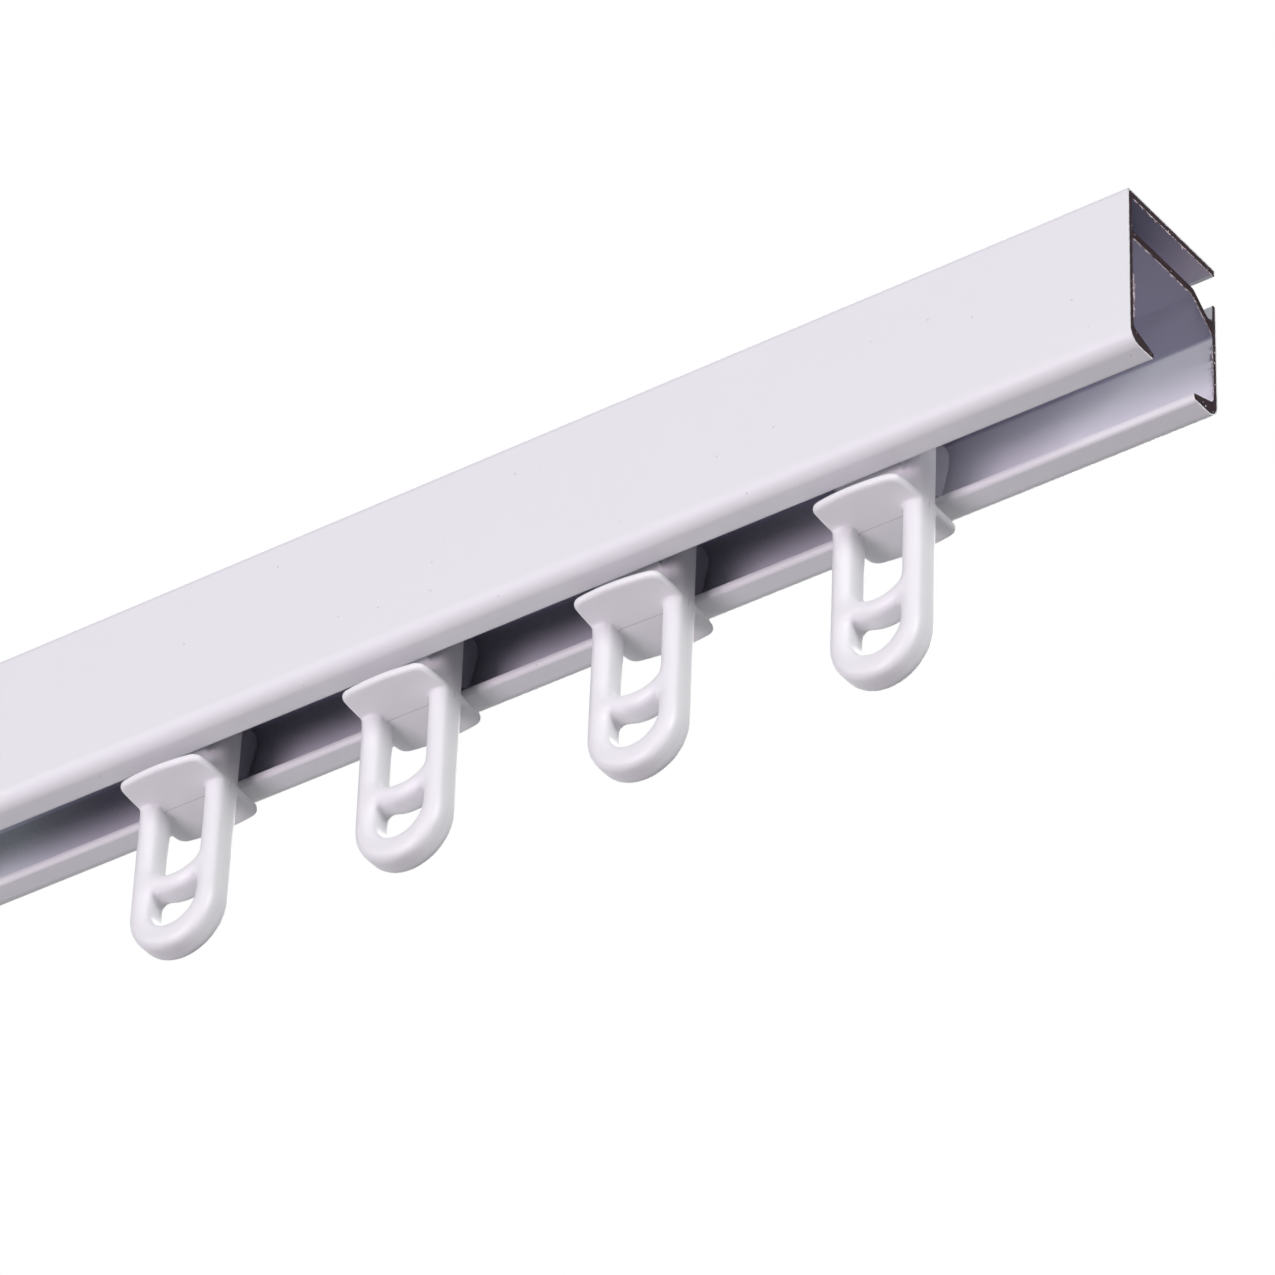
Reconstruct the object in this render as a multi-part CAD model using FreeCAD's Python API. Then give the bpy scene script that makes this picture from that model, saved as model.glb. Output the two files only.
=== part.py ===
"""Ceiling curtain track: a slotted aluminium rail with four one-piece gliders hanging in it.

X runs along the rail, the plain front wall faces -Y, +Z is up. The origin is the middle of the top face.
"""
import math
import os

import FreeCAD
import Part

# Rail, outside.
rail_length = 180.0
rail_width = 18.0
rail_height = 21.5
corner_radius = 2.0
edge_radius = 0.25
plate_end_radius = 0.4

# Rail, walls.
wall = 0.8
top_thickness = 1.0
web_thickness = 1.05
bracket_space = 4.65
bend_inset = 4.65
bend_angle = 36.8
bend_fillet = 0.9
upstand_thickness = 0.7
upstand_gap = 4.3
notch_fillet = 0.8

# Rail, slot and lips.
slot_width = 8.3
lip_tip = 0.9
lip_slope = 17.5
lip_nose_radius = 0.6
lip_root_fillet = 0.9

# Gliders, how each one hangs: its place along the rail, how far it sits to the rear and up from a plumb
# seat, and its turn about Z, rock about Y and lean about X, in degrees.
glider_places = (51.23, 17.95, -14.78, -47.54)
glider_shifts = (0.24, 0.37, -0.13, 0.0)
glider_lifts = (0.0, 0.05, 0.05, 0.07)
glider_turns = (-0.7, 2.1, 0.8, 1.0)
glider_rocks = (0.9, -0.25, -0.4, -0.4)
glider_leans = (0.25, -1.6, -1.3, -2.4)

# Glider, head on the lips.
run_gap = 0.35
head_length = 8.4
head_width = 13.4
head_foot_width = 10.5
head_foot_height = 5.9
head_height = 8.1
head_fillet = 0.5

# Glider, neck in the slot.
neck_length = 12.2
neck_width = 5.2
neck_corner = 2.0

# Glider, flange plate under the rail.
plate_drop = 2.15
plate_thickness = 1.05
plate_vee = 0.12
plate_length = 11.6
plate_width = 12.65
plate_end_bow = 0.35
plate_side_bow = 0.6
plate_corner = 1.4
plate_rim = 0.32

# Glider, hook eye.
eye_depth = 25.35
eye_outer_radius = 6.18
eye_inner_radius = 3.46
eye_bottom_thickness = 3.38
eye_thickness = 4.2
eye_draft = 0.0
eye_edge = 0.73
eye_edge_turn = 0.27
bar_top_drop = 14.55
bar_top_radius = 5.05
bar_thickness = 2.4
bar_bottom_radius = 6.55
bar_top_corner = 1.1
bar_bottom_corner = 0.5


def rounded_face(corners):
    """A face in the YZ plane from corners (y, z, radius), each corner rounded by its own radius."""
    count = len(corners)
    edges = []
    starts = []
    ends = []
    for i in range(count):
        y, z, radius = corners[i]
        here = FreeCAD.Vector(0, y, z)
        before = FreeCAD.Vector(0, corners[i - 1][0], corners[i - 1][1])
        after = FreeCAD.Vector(0, corners[(i + 1) % count][0], corners[(i + 1) % count][1])
        a = (before - here).normalize()
        b = (after - here).normalize()
        if radius <= 0:
            starts.append(here)
            ends.append(here)
            continue
        half = a.getAngle(b) / 2
        reach = radius / math.tan(half)
        start = here + a * reach
        end = here + b * reach
        centre = here + (a + b).normalize() * (radius / math.sin(half))
        middle = centre + (here - centre).normalize() * radius
        edges.append((i, Part.Arc(start, middle, end).toShape()))
        starts.append(start)
        ends.append(end)
    ring = []
    arcs = dict(edges)
    for i in range(count):
        if i in arcs:
            ring.append(arcs[i])
        following = starts[(i + 1) % count]
        if (following - ends[i]).Length > 1e-6:
            ring.append(Part.makeLine(ends[i], following))
    return Part.Face(Part.Wire(ring))


def rail_shape():
    """The extrusion, drawn as one closed section and pulled along X."""
    half = rail_width / 2
    inner = half - wall
    slot = slot_width / 2
    slope = math.tan(math.radians(lip_slope))
    lip_top = -rail_height + lip_tip
    lip_root = lip_top + (inner - slot) * slope
    web_top = -top_thickness - bracket_space
    web_under = web_top - web_thickness
    fall = math.tan(math.radians(bend_angle))
    bend = half - bend_inset
    bend_under = bend - web_thickness * math.tan(math.radians(bend_angle / 2))
    notch_y = half - upstand_thickness
    notch_z = web_top - (notch_y - bend) * fall
    meet_z = web_under - (inner - bend_under) * fall
    upstand_top = -top_thickness - upstand_gap
    tip = upstand_thickness * 0.45
    section = rounded_face([
        (-half, 0, edge_radius),
        (half, 0, plate_end_radius),
        (half, -top_thickness, plate_end_radius),
        (-inner, -top_thickness, 0.2),
        (-inner, web_top, 0.2),
        (bend, web_top, bend_fillet),
        (notch_y, notch_z, notch_fillet),
        (notch_y, upstand_top, tip),
        (half, upstand_top, tip),
        (half, -rail_height, corner_radius),
        (slot, -rail_height, lip_nose_radius),
        (slot, lip_top, 0.15),
        (inner, lip_root, lip_root_fillet),
        (inner, meet_z, bend_fillet),
        (bend_under, web_under, bend_fillet),
        (-inner, web_under, 0.2),
        (-inner, lip_root, lip_root_fillet),
        (-slot, lip_top, 0.15),
        (-slot, -rail_height, lip_nose_radius),
        (-half, -rail_height, corner_radius),
    ])
    section.translate(FreeCAD.Vector(-rail_length / 2, 0, 0))
    return section.extrude(FreeCAD.Vector(rail_length, 0, 0))


def head_shape():
    """The head in the channel: sloped soles over the lips, sides that widen upward."""
    foot = head_foot_width / 2
    side = head_width / 2
    slope = math.tan(math.radians(lip_slope))
    slot = slot_width / 2
    sole = -rail_height + lip_tip + run_gap / math.cos(math.radians(lip_slope))
    neck = neck_width / 2
    sole_in = sole - (slot - neck) * slope
    sole_out = sole + (foot - slot) * slope
    top = sole + head_height
    knee = sole + head_foot_height
    section = rounded_face([
        (-neck, sole_in, 0),
        (-foot, sole_out, head_fillet),
        (-side, knee, head_fillet * 2),
        (-side, top, head_fillet * 2),
        (side, top, head_fillet * 2),
        (side, knee, head_fillet * 2),
        (foot, sole_out, head_fillet),
        (neck, sole_in, 0),
    ])
    section.translate(FreeCAD.Vector(-head_length / 2, 0, 0))
    return section.extrude(FreeCAD.Vector(head_length, 0, 0))


def neck_shape(bottom):
    """The rounded block that passes through the slot, longer than the head, from its top to inside the plate."""
    top = -rail_height + lip_tip + head_height - head_fillet
    block = Part.makeBox(neck_length, neck_width, top - bottom, FreeCAD.Vector(-neck_length / 2, -neck_width / 2, bottom))
    upright = [e for e in block.Edges if abs(e.tangentAt(e.FirstParameter).z) > 0.99]
    return block.makeFillet(neck_corner, upright)


def plate_shape():
    """The flange: four bowed edges, rounded corners and a broken rim, with a shallow V under it."""
    x = plate_length / 2
    y = plate_width / 2
    top = -rail_height - plate_drop
    low = top - plate_thickness
    v = FreeCAD.Vector
    sides = [
        Part.Arc(v(-x, -y, 0), v(0, -y - plate_side_bow, 0), v(x, -y, 0)).toShape(),
        Part.Arc(v(x, -y, 0), v(x + plate_end_bow, 0, 0), v(x, y, 0)).toShape(),
        Part.Arc(v(x, y, 0), v(0, y + plate_side_bow, 0), v(-x, y, 0)).toShape(),
        Part.Arc(v(-x, y, 0), v(-x - plate_end_bow, 0, 0), v(-x, -y, 0)).toShape(),
    ]
    outline = Part.Face(Part.Wire(sides))
    outline.translate(v(0, 0, low - plate_vee - 1))
    column = outline.extrude(v(0, 0, plate_thickness + plate_vee + 3))
    upright = [e for e in column.Edges if e.BoundBox.ZLength > plate_thickness and e.BoundBox.XLength < 0.01]
    column = column.makeFillet(plate_corner, upright)
    reach = y + plate_side_bow + 1
    far = low + plate_vee * (reach - y) / y
    roof = Part.makePolygon([v(0, -reach, top), v(0, reach, top), v(0, reach, far), v(0, 0, low - plate_vee),
                             v(0, -reach, far), v(0, -reach, top)])
    vee = Part.Face(roof)
    vee.translate(v(-x - plate_end_bow - 1, 0, 0))
    vee = vee.extrude(v(plate_length + 2 * plate_end_bow + 2, 0, 0))
    plate = column.common(vee).removeSplitter()
    rim = [e for e in plate.Edges if e.BoundBox.ZLength < plate_thickness * 0.6 and not is_crease(e)]
    return plate.makeChamfer(plate_rim, rim)


def is_crease(edge):
    """True for the fold line along the middle of the underside."""
    box = edge.BoundBox
    return box.YLength < 0.01 and abs(box.YMin) < 0.01 and box.XLength > plate_length / 2


def loop_outline(radius, centre_z, top_z):
    """A U in the XZ plane: drafted legs tangent to a round bottom, closed at the top."""
    lean = math.radians(eye_draft)
    v = FreeCAD.Vector
    touch_x = radius * math.cos(lean)
    touch_z = centre_z + radius * math.sin(lean)
    head_x = touch_x - math.tan(lean) * (top_z - touch_z)
    arc = Part.Arc(v(-touch_x, 0, touch_z), v(0, 0, centre_z - radius), v(touch_x, 0, touch_z)).toShape()
    right = Part.makeLine(v(touch_x, 0, touch_z), v(head_x, 0, top_z))
    lid = Part.makeLine(v(head_x, 0, top_z), v(-head_x, 0, top_z))
    left = Part.makeLine(v(-head_x, 0, top_z), v(-touch_x, 0, touch_z))
    return Part.Face(Part.Wire([arc, right, lid, left]))


def disc(radius, centre_z):
    """A round face in the XZ plane, thick as the eye and more."""
    return Part.makeCylinder(radius, 3 * eye_thickness, FreeCAD.Vector(0, -1.5 * eye_thickness, centre_z),
                             FreeCAD.Vector(0, 1, 0))


def round_across(solid, radius, low, high):
    """Rounds the edges that run along Y and lie between two heights."""
    picked = []
    for e in solid.Edges:
        box = e.BoundBox
        if box.XLength < 0.01 and box.ZLength < 0.01 and low < box.ZMin < high:
            picked.append(e)
    return solid.makeFillet(radius, picked)


def eye_shape():
    """The hook eye: a U loop with a curved crossbar, its long edges turned over in two bands."""
    v = FreeCAD.Vector
    plate_low = -rail_height - plate_drop - plate_thickness
    bottom = -rail_height - eye_depth
    outer_z = bottom + eye_outer_radius
    inner_z = bottom + eye_bottom_thickness + eye_inner_radius
    bar_top = -rail_height - bar_top_drop
    bar_low = bar_top - bar_thickness
    root = plate_low + plate_thickness / 2
    back = 1.5 * eye_thickness
    body = loop_outline(eye_outer_radius, outer_z, root)
    body.translate(v(0, -eye_thickness / 2, 0))
    body = body.extrude(v(0, eye_thickness, 0))
    hollow = loop_outline(eye_inner_radius, inner_z, root + 2)
    hollow.translate(v(0, -back, 0))
    hollow = hollow.extrude(v(0, 2 * back, 0))
    above = disc(bar_top_radius, bar_top + bar_top_radius)
    sky = Part.makeBox(40, 2 * back, 40, v(-20, -back, bar_top + bar_top_radius))
    upper = hollow.common(above.fuse(sky)).removeSplitter()
    upper = round_across(upper, bar_top_corner, bar_top, bar_top + bar_top_radius)
    lower = hollow.cut(disc(bar_bottom_radius, bar_low + bar_bottom_radius))
    lower = lower.common(Part.makeBox(40, 2 * back, 40, v(-20, -back, bar_low + bar_bottom_radius * 0.6 - 40)))
    lower = round_across(lower, bar_bottom_corner, bottom, bar_top)
    body = body.cut(upper).cut(lower)
    body = body.makeChamfer(eye_edge, face_rims(body, root))
    return body.makeChamfer(eye_edge_turn, face_rims(body, root))


def face_rims(body, root):
    """The outline edges of the eye's front and back faces, below the plate."""
    rims = []
    for e in body.Edges:
        box = e.BoundBox
        if box.YLength < 0.01 and abs(abs(box.YMin) - eye_thickness / 2) < 0.01 and box.ZMin < root - 0.01:
            rims.append(e)
    return rims


def glider_shape():
    """One moulding: head, neck, flange plate and hook eye."""
    plate_top = -rail_height - plate_drop
    neck = neck_shape(plate_top - plate_thickness / 2)
    whole = plate_shape().fuse(neck).fuse(head_shape()).fuse(eye_shape())
    return whole.removeSplitter()


def hang(glider, i):
    """A copy of the glider, turned about its seat on the lips and set at its own place."""
    seat = FreeCAD.Vector(0, 0, -rail_height + lip_tip)
    copy = glider.copy()
    copy.rotate(seat, FreeCAD.Vector(1, 0, 0), glider_leans[i])
    copy.rotate(seat, FreeCAD.Vector(0, 1, 0), glider_rocks[i])
    copy.rotate(seat, FreeCAD.Vector(0, 0, 1), glider_turns[i])
    copy.translate(FreeCAD.Vector(glider_places[i], glider_shifts[i], glider_lifts[i]))
    return copy


def save(shape, node):
    """Writes one node's solid."""
    shape.exportStep("parts/" + node + ".step")


os.makedirs("parts", exist_ok=True)
save(rail_shape(), "rail")
glider = glider_shape()
for i in range(len(glider_places)):
    save(hang(glider, i), "glider_" + str(i + 1))
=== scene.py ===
import math
import random

import bmesh
import bpy
from mathutils import Matrix, Vector


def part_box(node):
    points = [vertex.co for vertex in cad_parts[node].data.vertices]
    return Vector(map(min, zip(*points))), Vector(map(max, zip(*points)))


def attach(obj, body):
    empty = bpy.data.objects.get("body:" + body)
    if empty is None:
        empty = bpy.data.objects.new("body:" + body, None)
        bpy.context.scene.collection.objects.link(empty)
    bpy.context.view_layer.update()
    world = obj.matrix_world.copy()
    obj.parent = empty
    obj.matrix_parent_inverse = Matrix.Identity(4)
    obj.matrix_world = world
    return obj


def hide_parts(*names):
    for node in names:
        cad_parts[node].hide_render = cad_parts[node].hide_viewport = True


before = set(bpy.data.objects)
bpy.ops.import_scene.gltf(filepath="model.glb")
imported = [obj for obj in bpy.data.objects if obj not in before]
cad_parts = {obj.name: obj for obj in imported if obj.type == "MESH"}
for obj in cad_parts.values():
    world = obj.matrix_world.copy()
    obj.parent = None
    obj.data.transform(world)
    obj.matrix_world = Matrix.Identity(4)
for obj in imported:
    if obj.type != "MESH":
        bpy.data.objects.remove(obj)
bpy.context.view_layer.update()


# Rail. One aluminium extrusion, stove-lacquered white and then sawn square to length, and held up by
# its top. The lacquer softens the die lines. Deep inside the channel its colour holds painted shade, darker and
# bluish.
# It stops at the saw cuts, so both end faces are bare metal.

class Wire:
    """One output in a tree of nodes. Arithmetic on it adds Math nodes."""

    def __init__(self, finish, socket):
        self.finish = finish
        self.socket = socket

    def math(self, operation, *others):
        return self.finish.node("ShaderNodeMath", {"operation": operation}, dict(enumerate((self, *others))))

    def __add__(self, other):
        return self.math("ADD", other)

    __radd__ = __add__

    def __sub__(self, other):
        return self.math("SUBTRACT", other)

    def __rsub__(self, other):
        return self.finish.node("ShaderNodeMath", {"operation": "SUBTRACT"}, {0: other, 1: self})

    def __mul__(self, other):
        return self.math("MULTIPLY", other)

    __rmul__ = __mul__

    def __abs__(self):
        return self.math("ABSOLUTE")

    def __gt__(self, other):
        return self.math("GREATER_THAN", other)

    def __lt__(self, other):
        return self.math("LESS_THAN", other)


class Finish:
    """A material, or the world, under way: its tree, and the one call that adds a node to it."""

    def __init__(self, holder):
        self.holder = holder
        holder.use_nodes = True
        self.tree = holder.node_tree
        self.tree.nodes.clear()

    def node(self, kind, settings=None, inputs=None, output=0):
        """Adds a node, makes its settings, then sets or links its sockets, and returns one output."""
        added = self.tree.nodes.new(kind)
        for name, value in (settings or {}).items():
            if name == "stops":
                ramp = added.color_ramp.elements
                while len(ramp) < len(value):
                    ramp.new(0.5)
                for stop, (place, colour) in zip(ramp, value):
                    stop.position = place
                    stop.color = (*colour, 1.0)
            else:
                setattr(added, name, value)
        for name, value in (inputs or {}).items():
            if isinstance(value, Wire):
                self.tree.links.new(value.socket, added.inputs[name])
            elif isinstance(value, tuple) and len(value) == 3 and added.inputs[name].type == "RGBA":
                added.inputs[name].default_value = (*value, 1.0)
            else:
                added.inputs[name].default_value = value
        return Wire(self, added.outputs[output]) if added.outputs else None

    def split(self, vector):
        """The three parts of a vector."""
        return [self.node("ShaderNodeSeparateXYZ", {}, {"Vector": vector}, output=axis) for axis in "XYZ"]

    def noise(self, vector, scale, detail):
        """Cloudy noise, from none to one."""
        return self.node("ShaderNodeTexNoise", {}, {"Vector": vector, "Scale": scale, "Detail": detail})

    def stretched(self, vector, scale, turned=(0.0, 0.0, 0.0)):
        """The same place, drawn out along an axis where scale is small."""
        return self.node("ShaderNodeMapping", {}, {"Vector": vector, "Rotation": turned, "Scale": scale})

    def rise(self, value, start, end):
        """Goes softly from none to one while value goes from start to end."""
        return self.node("ShaderNodeMapRange", {"interpolation_type": "SMOOTHSTEP"},
                         {"Value": value, "From Min": start, "From Max": end})

    def blend(self, share, first, second):
        """The first colour, going over to the second by its share."""
        return self.node("ShaderNodeMix", {"data_type": "RGBA"},
                         {"Factor": share, "A": first, "B": second}, output=2)

    def surface(self, inputs):
        """Closes the tree with a Principled shader and returns the material."""
        shader = self.node("ShaderNodeBsdfPrincipled", {}, inputs)
        self.node("ShaderNodeOutputMaterial", {}, {"Surface": shader})
        return self.holder


rail_low, rail_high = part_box("rail")
foot_corner = 0.0020
lacquer_margin = 0.00018
chip_reach = 0.00010
cut_slack = 0.00003
inner_half = 0.00825
below_top = -0.0009
above_lips = -0.0203
web_top = -0.0059
web_foot = -0.0101
# Where the painted shade inside starts and is full, from the cut end and up the rear wall.
shade_from_end, shade_full_end = 0.025, 0.070
low_wall, high_wall = -0.0190, -0.0115
flange_half = 0.0075
edge_foot, edge_top = -0.0007, -0.0001
grit_size, grit_chance, grit_strength = 0.075, 0.86, 0.3

enamel_colour = (0.865, 0.868, 0.888)
enamel_thick = (0.848, 0.85, 0.872)
# Painted shade along the top edge of the front face.
top_shade_colour = (0.74, 0.73, 0.78)
# Painted shade inside the channel: a lit tone near the cut end, then the shaded tones.
inner_lit_colour = (0.85, 0.84, 0.92)
inner_shade_colour = (0.335, 0.33, 0.375)
under_web_shade_colour = (0.44, 0.425, 0.555)
over_web_shade_front = (0.335, 0.325, 0.45)
over_web_shade_rear = (0.64, 0.58, 0.70)
grit_colour = (0.30, 0.27, 0.26)
# Painted dark reflection on the bare sawn ends.
sawn_dark_reflection = (0.014, 0.005, 0.008)
sawn_light_reflection = (0.034, 0.018, 0.024)

enamel = Finish(bpy.data.materials.new("rail_enamel"))
place = enamel.node("ShaderNodeTexCoord", output="Object")
along, across, up = enamel.split(place)
die_lines = enamel.noise(enamel.stretched(place, (0.02, 1.0, 1.0)), 2600.0, 2.0)
peel = enamel.noise(place, 900.0, 3.0)
cloud = enamel.noise(place, 60.0, 3.0)
shade_mottle = enamel.noise(place, 3200.0, 2.0)
chip = enamel.noise(place, 1900.0, 2.0)

# The outside: white, a little thicker in places, with a painted shade line along the top edge.
top_shade_band = enamel.rise(up, edge_foot, edge_top)
coat_tone = enamel.blend(cloud, enamel_colour, enamel_thick)
outer_tone = enamel.blend(top_shade_band, coat_tone, top_shade_colour)

# The inside: painted shade. A lit tone near the cut end; darker and bluish deeper in, high on the rear wall, under
# the web and over it.
inside = (abs(across) < inner_half) * (up < below_top) * (up > above_lips)
wall_shade = enamel.rise(rail_high.x - along, shade_from_end, shade_full_end) * enamel.rise(up, low_wall, high_wall)
wall_tone = enamel.blend(wall_shade * (0.85 + 0.30 * shade_mottle), inner_lit_colour, inner_shade_colour)
track_tone = enamel.blend(enamel.rise(across, -flange_half, flange_half), over_web_shade_front, over_web_shade_rear)
roof_tone = enamel.blend(up > web_top, under_web_shade_colour, track_tone)
inner_tone = enamel.blend(enamel.rise(up, web_foot - 0.0004, web_foot + 0.0002), wall_tone, roof_tone)
lacquer_tone = enamel.blend(inside, outer_tone, inner_tone)

# A few specks of grit that were caught in the lacquer.
grit, pick = [enamel.node("ShaderNodeTexVoronoi", {}, {"Vector": place, "Scale": 520.0}, output=kind)
              for kind in ("Distance", "Color")]
luck = enamel.split(pick)[0]
speck = (grit < grit_size) * (luck > grit_chance) * grit_strength
specked = enamel.blend(speck, lacquer_tone, grit_colour)

# The sawn faces: bare metal with saw marks, up to the rounded lower corners' coat. Their near-black colour is a
# painted dark reflection.
side = (abs(across) - (rail_high.y - foot_corner)).math("MAXIMUM", 0.0)
foot = (rail_low.z + foot_corner - up).math("MAXIMUM", 0.0)
inward = foot_corner - (side * side + foot * foot).math("SQRT")
margin = lacquer_margin * (0.5 + chip)
sawn = (abs(along) + chip_reach * chip > rail_high.x + cut_slack) * (inward > margin) * (up < -1 * margin)
saw_marks = enamel.noise(enamel.stretched(place, (1.0, 0.05, 1.0), (math.radians(28), 0.0, 0.0)), 5200.0, 3.0)
sawn_marks_and_reflection = enamel.node("ShaderNodeValToRGB", {"stops": [(0.35, sawn_dark_reflection), (0.75, sawn_light_reflection)]},
                        {"Fac": saw_marks})

height = (peel * 0.7 + die_lines * 0.3) * (1 - sawn) + saw_marks * sawn * 1.5
rail_finish = enamel.surface({
    "Base Color": enamel.blend(sawn, specked, sawn_marks_and_reflection),
    "Roughness": 0.34 + 0.08 * cloud + 0.1 * inside + sawn * 0.55,
    "Specular IOR Level": 0.35,
    "Normal": enamel.node("ShaderNodeBump", {}, {"Strength": 0.10, "Distance": 0.00003, "Height": height}),
})

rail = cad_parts["rail"]
rail.data.materials.clear()
rail.data.materials.append(rail_finish)
for face in rail.data.polygons:
    face.use_smooth = True
weld = rail.modifiers.new("weld", "WELD")
weld.merge_threshold = 0.000002
crease = rail.modifiers.new("crease", "EDGE_SPLIT")
crease.split_angle = math.radians(32)
even = rail.modifiers.new("even", "WEIGHTED_NORMAL")
even.keep_sharp = True


# Saw burr. The thin ragged lip of bare aluminium that the saw pushed over the inner edges of each cut.
# It belongs to the rail and is left on it, because the cut ends are hidden by the wall or a cover.

burr_reach = 0.00030
burr_tooth = 0.00028
burr_rise = 0.00006
burr_root = 0.00006
burr_wall = 0.00004
burr_dark = (0.10, 0.07, 0.08)
burr_light = (0.58, 0.47, 0.53)

# Each run of burr in the section: its two ends, across and up, and the way in which it leans.
burr_runs = [
    ((-0.0080, -0.00100), (0.0085, -0.00100), (0.0, -1.0)),
    ((-0.0080, -0.00670), (0.0040, -0.00670), (0.0, -1.0)),
    ((0.0042, -0.00685), (0.0079, -0.00962), (-0.60, -0.80)),
    ((-0.0082, -0.0119), (-0.0082, -0.0180), (1.0, 0.0)),
    ((0.0082, -0.0112), (0.0082, -0.0182), (-1.0, 0.0)),
]

burr_metal = Finish(bpy.data.materials.new("burr_metal"))
torn = burr_metal.noise(burr_metal.node("ShaderNodeTexCoord", output="Object"), 4200.0, 2.0)
torn_tone = burr_metal.node("ShaderNodeValToRGB", {"stops": [(0.36, burr_dark), (0.60, burr_light)]}, {"Fac": torn})
burr_finish = burr_metal.surface({"Base Color": torn_tone, "Roughness": 0.45 + 0.2 * torn, "Metallic": 0.25})

random.seed(11)
burr_mesh = bpy.data.meshes.new("saw_burr")
ragged = bmesh.new()
for end in (1, -1):
    for (y0, z0), (y1, z1), (lean_y, lean_z) in burr_runs:
        length = math.hypot(y1 - y0, z1 - z0)
        teeth = max(4, round(length / burr_tooth))
        strip = bmesh.ops.create_grid(ragged, x_segments=teeth, y_segments=1, size=0.5)["verts"]
        reach = [burr_reach * max(0.0, random.gauss(0.55, 0.45)) for tooth in range(teeth + 1)]
        for vert in strip:
            share = vert.co.x + 0.5
            at_tip = vert.co.y > 0
            out = reach[round(share * teeth)] if at_tip else -burr_root
            rise = burr_rise * (1.0 + random.random()) if at_tip else 0.00001
            vert.co = Vector((end * (rail_high.x + rise),
                              y0 + (y1 - y0) * share + lean_y * out,
                              z0 + (z1 - z0) * share + lean_z * out))
bmesh.ops.recalc_face_normals(ragged, faces=ragged.faces)
bmesh.ops.solidify(ragged, geom=ragged.faces[:], thickness=burr_wall)
bmesh.ops.recalc_face_normals(ragged, faces=ragged.faces)
ragged.to_mesh(burr_mesh)
ragged.free()
burr_mesh.materials.append(burr_finish)
burr = bpy.data.objects.new("saw_burr", burr_mesh)
bpy.context.scene.collection.objects.link(burr)
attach(burr, "rail")


# Gliders. Four identical injection mouldings in white nylon, threaded into the slot from the end.
# Each is one piece: head, neck, flange plate and hook eye, with every edge softened by the mould.
# They have play in the slot, so each hangs with a small lean of its own.

voxel = 0.00016
eye_root = -0.0252
eye_rounding = 28
plate_side = -0.0242
loop_middle = -0.04067
loop_outside = 0.0054
seam_half = 0.00007
head_side_in, head_side_out = 0.0027, 0.0033
head_foot, head_full = -0.0212, -0.0200

nylon_colour = (0.875, 0.87, 0.89)
nylon_flow = (0.85, 0.845, 0.87)
seam_colour = (0.62, 0.58, 0.60)
# Painted shade on the sides of the head.
head_shade_colour = (0.30, 0.30, 0.335)

nylon = Finish(bpy.data.materials.new("glider_nylon"))
place = nylon.node("ShaderNodeTexCoord", output="Object")
flow = nylon.noise(place, 90.0, 2.0)
grain = nylon.noise(place, 1500.0, 3.0)
own_place = nylon.node("ShaderNodeAttribute", {"attribute_name": "own_place"}, output="Vector")
own_x, own_y, own_z = nylon.split(own_place)

# The mould's joint line, along the middle of the plate's underside and faintly round the loop.
under_loop = (own_z - loop_middle).math("MINIMUM", 0.0)
outward = (own_x * own_x + under_loop * under_loop).math("SQRT")
on_plate = own_z > eye_root
shown = on_plate.math("MAXIMUM", outward > loop_outside)
seam = (abs(own_y) < seam_half) * (own_z < plate_side) * shown * (0.15 + 0.75 * on_plate)

# Painted shade: the sides of the head, which sit in shade inside the rail, are darkened.
head_shade = nylon.rise(abs(own_y), head_side_in, head_side_out) * nylon.rise(own_z, head_foot, head_full)
seamed = nylon.blend(seam, nylon.blend(flow, nylon_colour, nylon_flow), seam_colour)
tooling = nylon.noise(nylon.stretched(own_place, (0.04, 1.0, 0.04)), 2600.0, 2.0)
height = grain * 0.6 + tooling * 0.8
glider_finish = nylon.surface({
    "Base Color": nylon.blend(head_shade * (0.8 + 0.4 * flow), seamed, head_shade_colour),
    "Roughness": 0.36 + 0.08 * flow,
    "Subsurface Weight": 0.5,
    "Subsurface Radius": Vector((1.0, 1.0, 1.0)),
    "Subsurface Scale": 0.0007,
    "Normal": nylon.node("ShaderNodeBump", {}, {"Strength": 0.16, "Distance": 0.00003, "Height": height}),
})

# Where each glider's seat is moved to, then its turn, its rock along the rail and its lean, in degrees.
seat = Vector((0.0, 0.0, -0.0206))
hangs = {
    "glider_1": ((0.05123, 0.00024, 0.0), -0.7, 0.9, 0.25),
    "glider_2": ((0.01795, 0.00037, 0.00005), 2.1, -0.25, -1.6),
    "glider_3": ((-0.01478, -0.00013, 0.00005), 0.8, -0.4, -1.3),
    "glider_4": ((-0.04754, 0.0, 0.00007), 1.0, -0.4, -2.4),
}


def tilt(turned, tipped, rolled):
    """A turn about the upright axis, after a tip about the way along and a roll about the way across."""
    return (Matrix.Rotation(math.radians(turned), 4, "Z")
            @ Matrix.Rotation(math.radians(tipped), 4, "Y")
            @ Matrix.Rotation(math.radians(rolled), 4, "X"))


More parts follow.
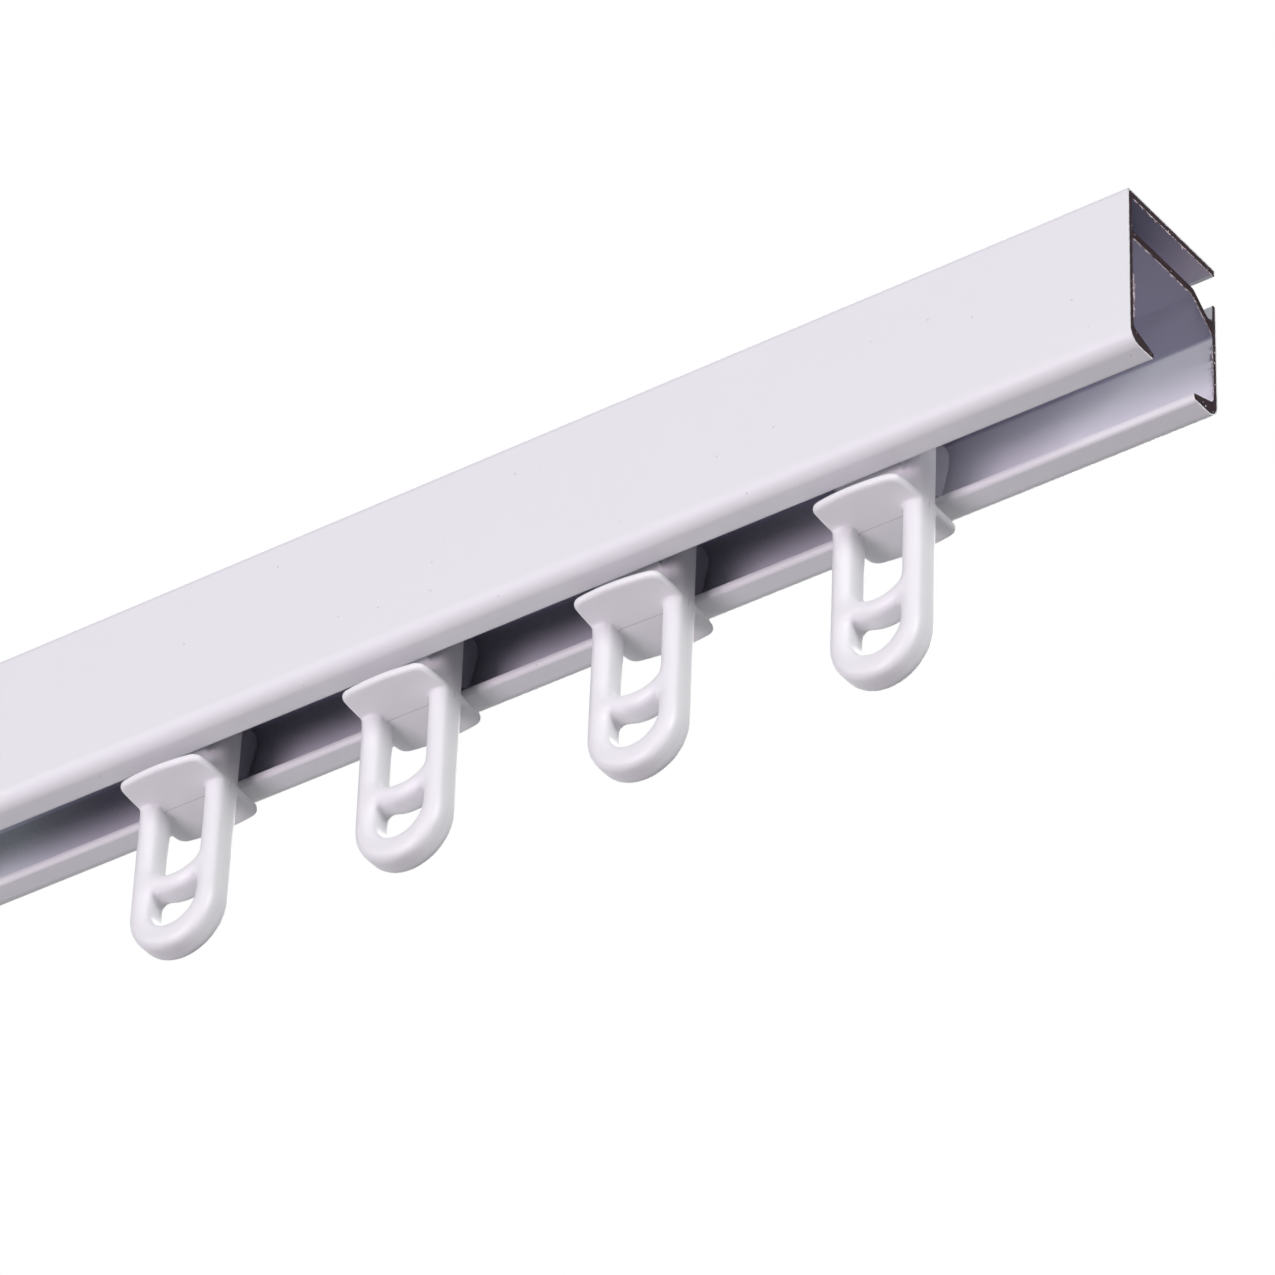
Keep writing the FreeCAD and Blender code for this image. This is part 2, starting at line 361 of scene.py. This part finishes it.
for node, (hung, turned, rocked, leant) in hangs.items():
    merged = bmesh.new()
    merged.from_mesh(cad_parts[node].data)
    bmesh.ops.remove_doubles(merged, verts=merged.verts, dist=0.000002)
    sharp_mesh = bpy.data.meshes.new(node + "_sharp")
    merged.to_mesh(sharp_mesh)
    merged.free()
    blank = bpy.data.objects.new(node + "_blank", sharp_mesh)
    bpy.context.scene.collection.objects.link(blank)
    skin = blank.modifiers.new("skin", "REMESH")
    skin.mode = "VOXEL"
    skin.voxel_size = voxel
    soften = blank.modifiers.new("soften", "SMOOTH")
    soften.factor = 0.5
    soften.iterations = 8
    bpy.context.view_layer.update()
    mesh = bpy.data.meshes.new_from_object(blank.evaluated_get(bpy.context.evaluated_depsgraph_get()))
    bpy.data.objects.remove(blank)

    rounded = bmesh.new()
    rounded.from_mesh(mesh)
    eye = [vert for vert in rounded.verts if vert.co.z < eye_root]
    for again in range(eye_rounding):
        bmesh.ops.smooth_vert(rounded, verts=eye, factor=0.5, use_axis_x=True, use_axis_y=True, use_axis_z=True)
    rounded.to_mesh(mesh)
    rounded.free()
    for face in mesh.polygons:
        face.use_smooth = True
    mesh.materials.clear()
    mesh.materials.append(glider_finish)

    hang = Matrix.Translation(Vector(hung) + seat) @ tilt(turned, rocked, leant) @ Matrix.Translation(-seat)
    upright = hang.inverted()
    own = mesh.attributes.new("own_place", "FLOAT_VECTOR", "POINT")
    for vert, value in zip(mesh.vertices, own.data):
        value.vector = upright @ vert.co
    moulding = bpy.data.objects.new(node.replace("glider", "moulding"), mesh)
    bpy.context.scene.collection.objects.link(moulding)
    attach(moulding, node)
    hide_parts(node)


# Studio. A pale paper floor far below the hanging track, so that it can be seen from underneath,
# a white surround, and soft boxes in front, at the cut end, behind and overhead.

floor_z = -1.2
floor_radius = 10.0
floor_share = 0.85
floor_paper = (0.62, 0.62, 0.625)
floor_pale = (0.93, 0.93, 0.935)
ambient = (0.93, 0.92, 1.0)
ambient_level = 0.075
white = (1.0, 1.0, 1.0)


def seen_as_backdrop(finish):
    """One for the camera, a reflection or a clear piece, none for the light that falls on the track."""
    camera_ray, glossy_ray, clear_ray = [
        finish.node("ShaderNodeLightPath", output=ray)
        for ray in ("Is Camera Ray", "Is Glossy Ray", "Is Transmission Ray")]
    return camera_ray.math("MAXIMUM", glossy_ray).math("MAXIMUM", clear_ray)


paper = Finish(bpy.data.materials.new("floor_paper"))
matt = paper.node("ShaderNodeBsdfPrincipled", {}, {"Base Color": floor_paper, "Roughness": 0.9})
pale = paper.node("ShaderNodeEmission", {}, {"Color": floor_pale, "Strength": 1.0})
shown_floor = paper.node("ShaderNodeMixShader", {}, {0: seen_as_backdrop(paper) * floor_share, 1: matt, 2: pale})
paper.node("ShaderNodeOutputMaterial", {}, {"Surface": shown_floor})

flat = bmesh.new()
bmesh.ops.create_circle(flat, cap_ends=True, segments=96, radius=floor_radius,
                        matrix=Matrix.Translation((0.0, 0.0, floor_z)))
floor_mesh = bpy.data.meshes.new("floor")
flat.to_mesh(floor_mesh)
flat.free()
floor_mesh.materials.append(paper.holder)
floor = bpy.data.objects.new("floor", floor_mesh)
bpy.context.scene.collection.objects.link(floor)

bpy.context.scene.world = bpy.data.worlds.new("studio")
sky = Finish(bpy.context.scene.world)
soft = sky.node("ShaderNodeBackground", {}, {"Color": ambient, "Strength": ambient_level})
bright = sky.node("ShaderNodeBackground", {}, {"Color": white, "Strength": 1.0})
surround = sky.node("ShaderNodeMixShader", {}, {0: seen_as_backdrop(sky), 1: soft, 2: bright})
sky.node("ShaderNodeOutputWorld", {}, {"Surface": surround})


def lamp(name, place, size, power, colour=white):
    """A square soft box that faces the track."""
    light = bpy.data.lights.new(name, "AREA")
    light.shape = "SQUARE"
    light.size = size
    light.energy = power
    light.color = colour
    stand = bpy.data.objects.new(name, light)
    stand.location = place
    stand.rotation_euler = (Vector((0.0, 0.0, -0.02)) - Vector(place)).to_track_quat("-Z", "Y").to_euler()
    bpy.context.scene.collection.objects.link(stand)


lamp("front_box", (-0.2, -1.3, -0.6), 0.6, 10.8, (1.0, 0.865, 0.985))
lamp("left_box", (-1.1, -1.1, 0.1), 0.7, 4.9, (0.85, 1.0, 0.94))
lamp("side_box", (1.3, -0.75, 0.35), 0.5, 9.2, (0.97, 1.0, 0.98))
lamp("end_box", (1.45, -0.3, 0.15), 0.5, 6.0, (1.0, 0.975, 1.0))
lamp("back_box", (-0.3, 1.2, 0.9), 1.0, 10.0)
lamp("top_box", (-0.1, 0.35, 0.75), 0.6, 2.7)


# Camera. It stands far below the track and to its right, with a long lens, and looks up along it.
# The turn, the climb and the slight roll are in degrees.

view_turn = 36.443
view_climb = 36.445
view_roll = 1.655

lens = bpy.data.cameras.new("camera")
lens.sensor_width = 36.0
lens.lens = 244.69
lens.clip_start = 0.01
camera = bpy.data.objects.new("camera", lens)
camera.matrix_world = (Matrix.Translation((0.4898, -0.6398, -0.6144))
                       @ Matrix.Rotation(math.radians(view_turn), 4, "Z")
                       @ Matrix.Rotation(math.radians(90 + view_climb), 4, "X")
                       @ Matrix.Rotation(math.radians(view_roll), 4, "Z"))
bpy.context.scene.collection.objects.link(camera)
bpy.context.scene.camera = camera
bpy.context.scene.view_settings.view_transform = "Standard"
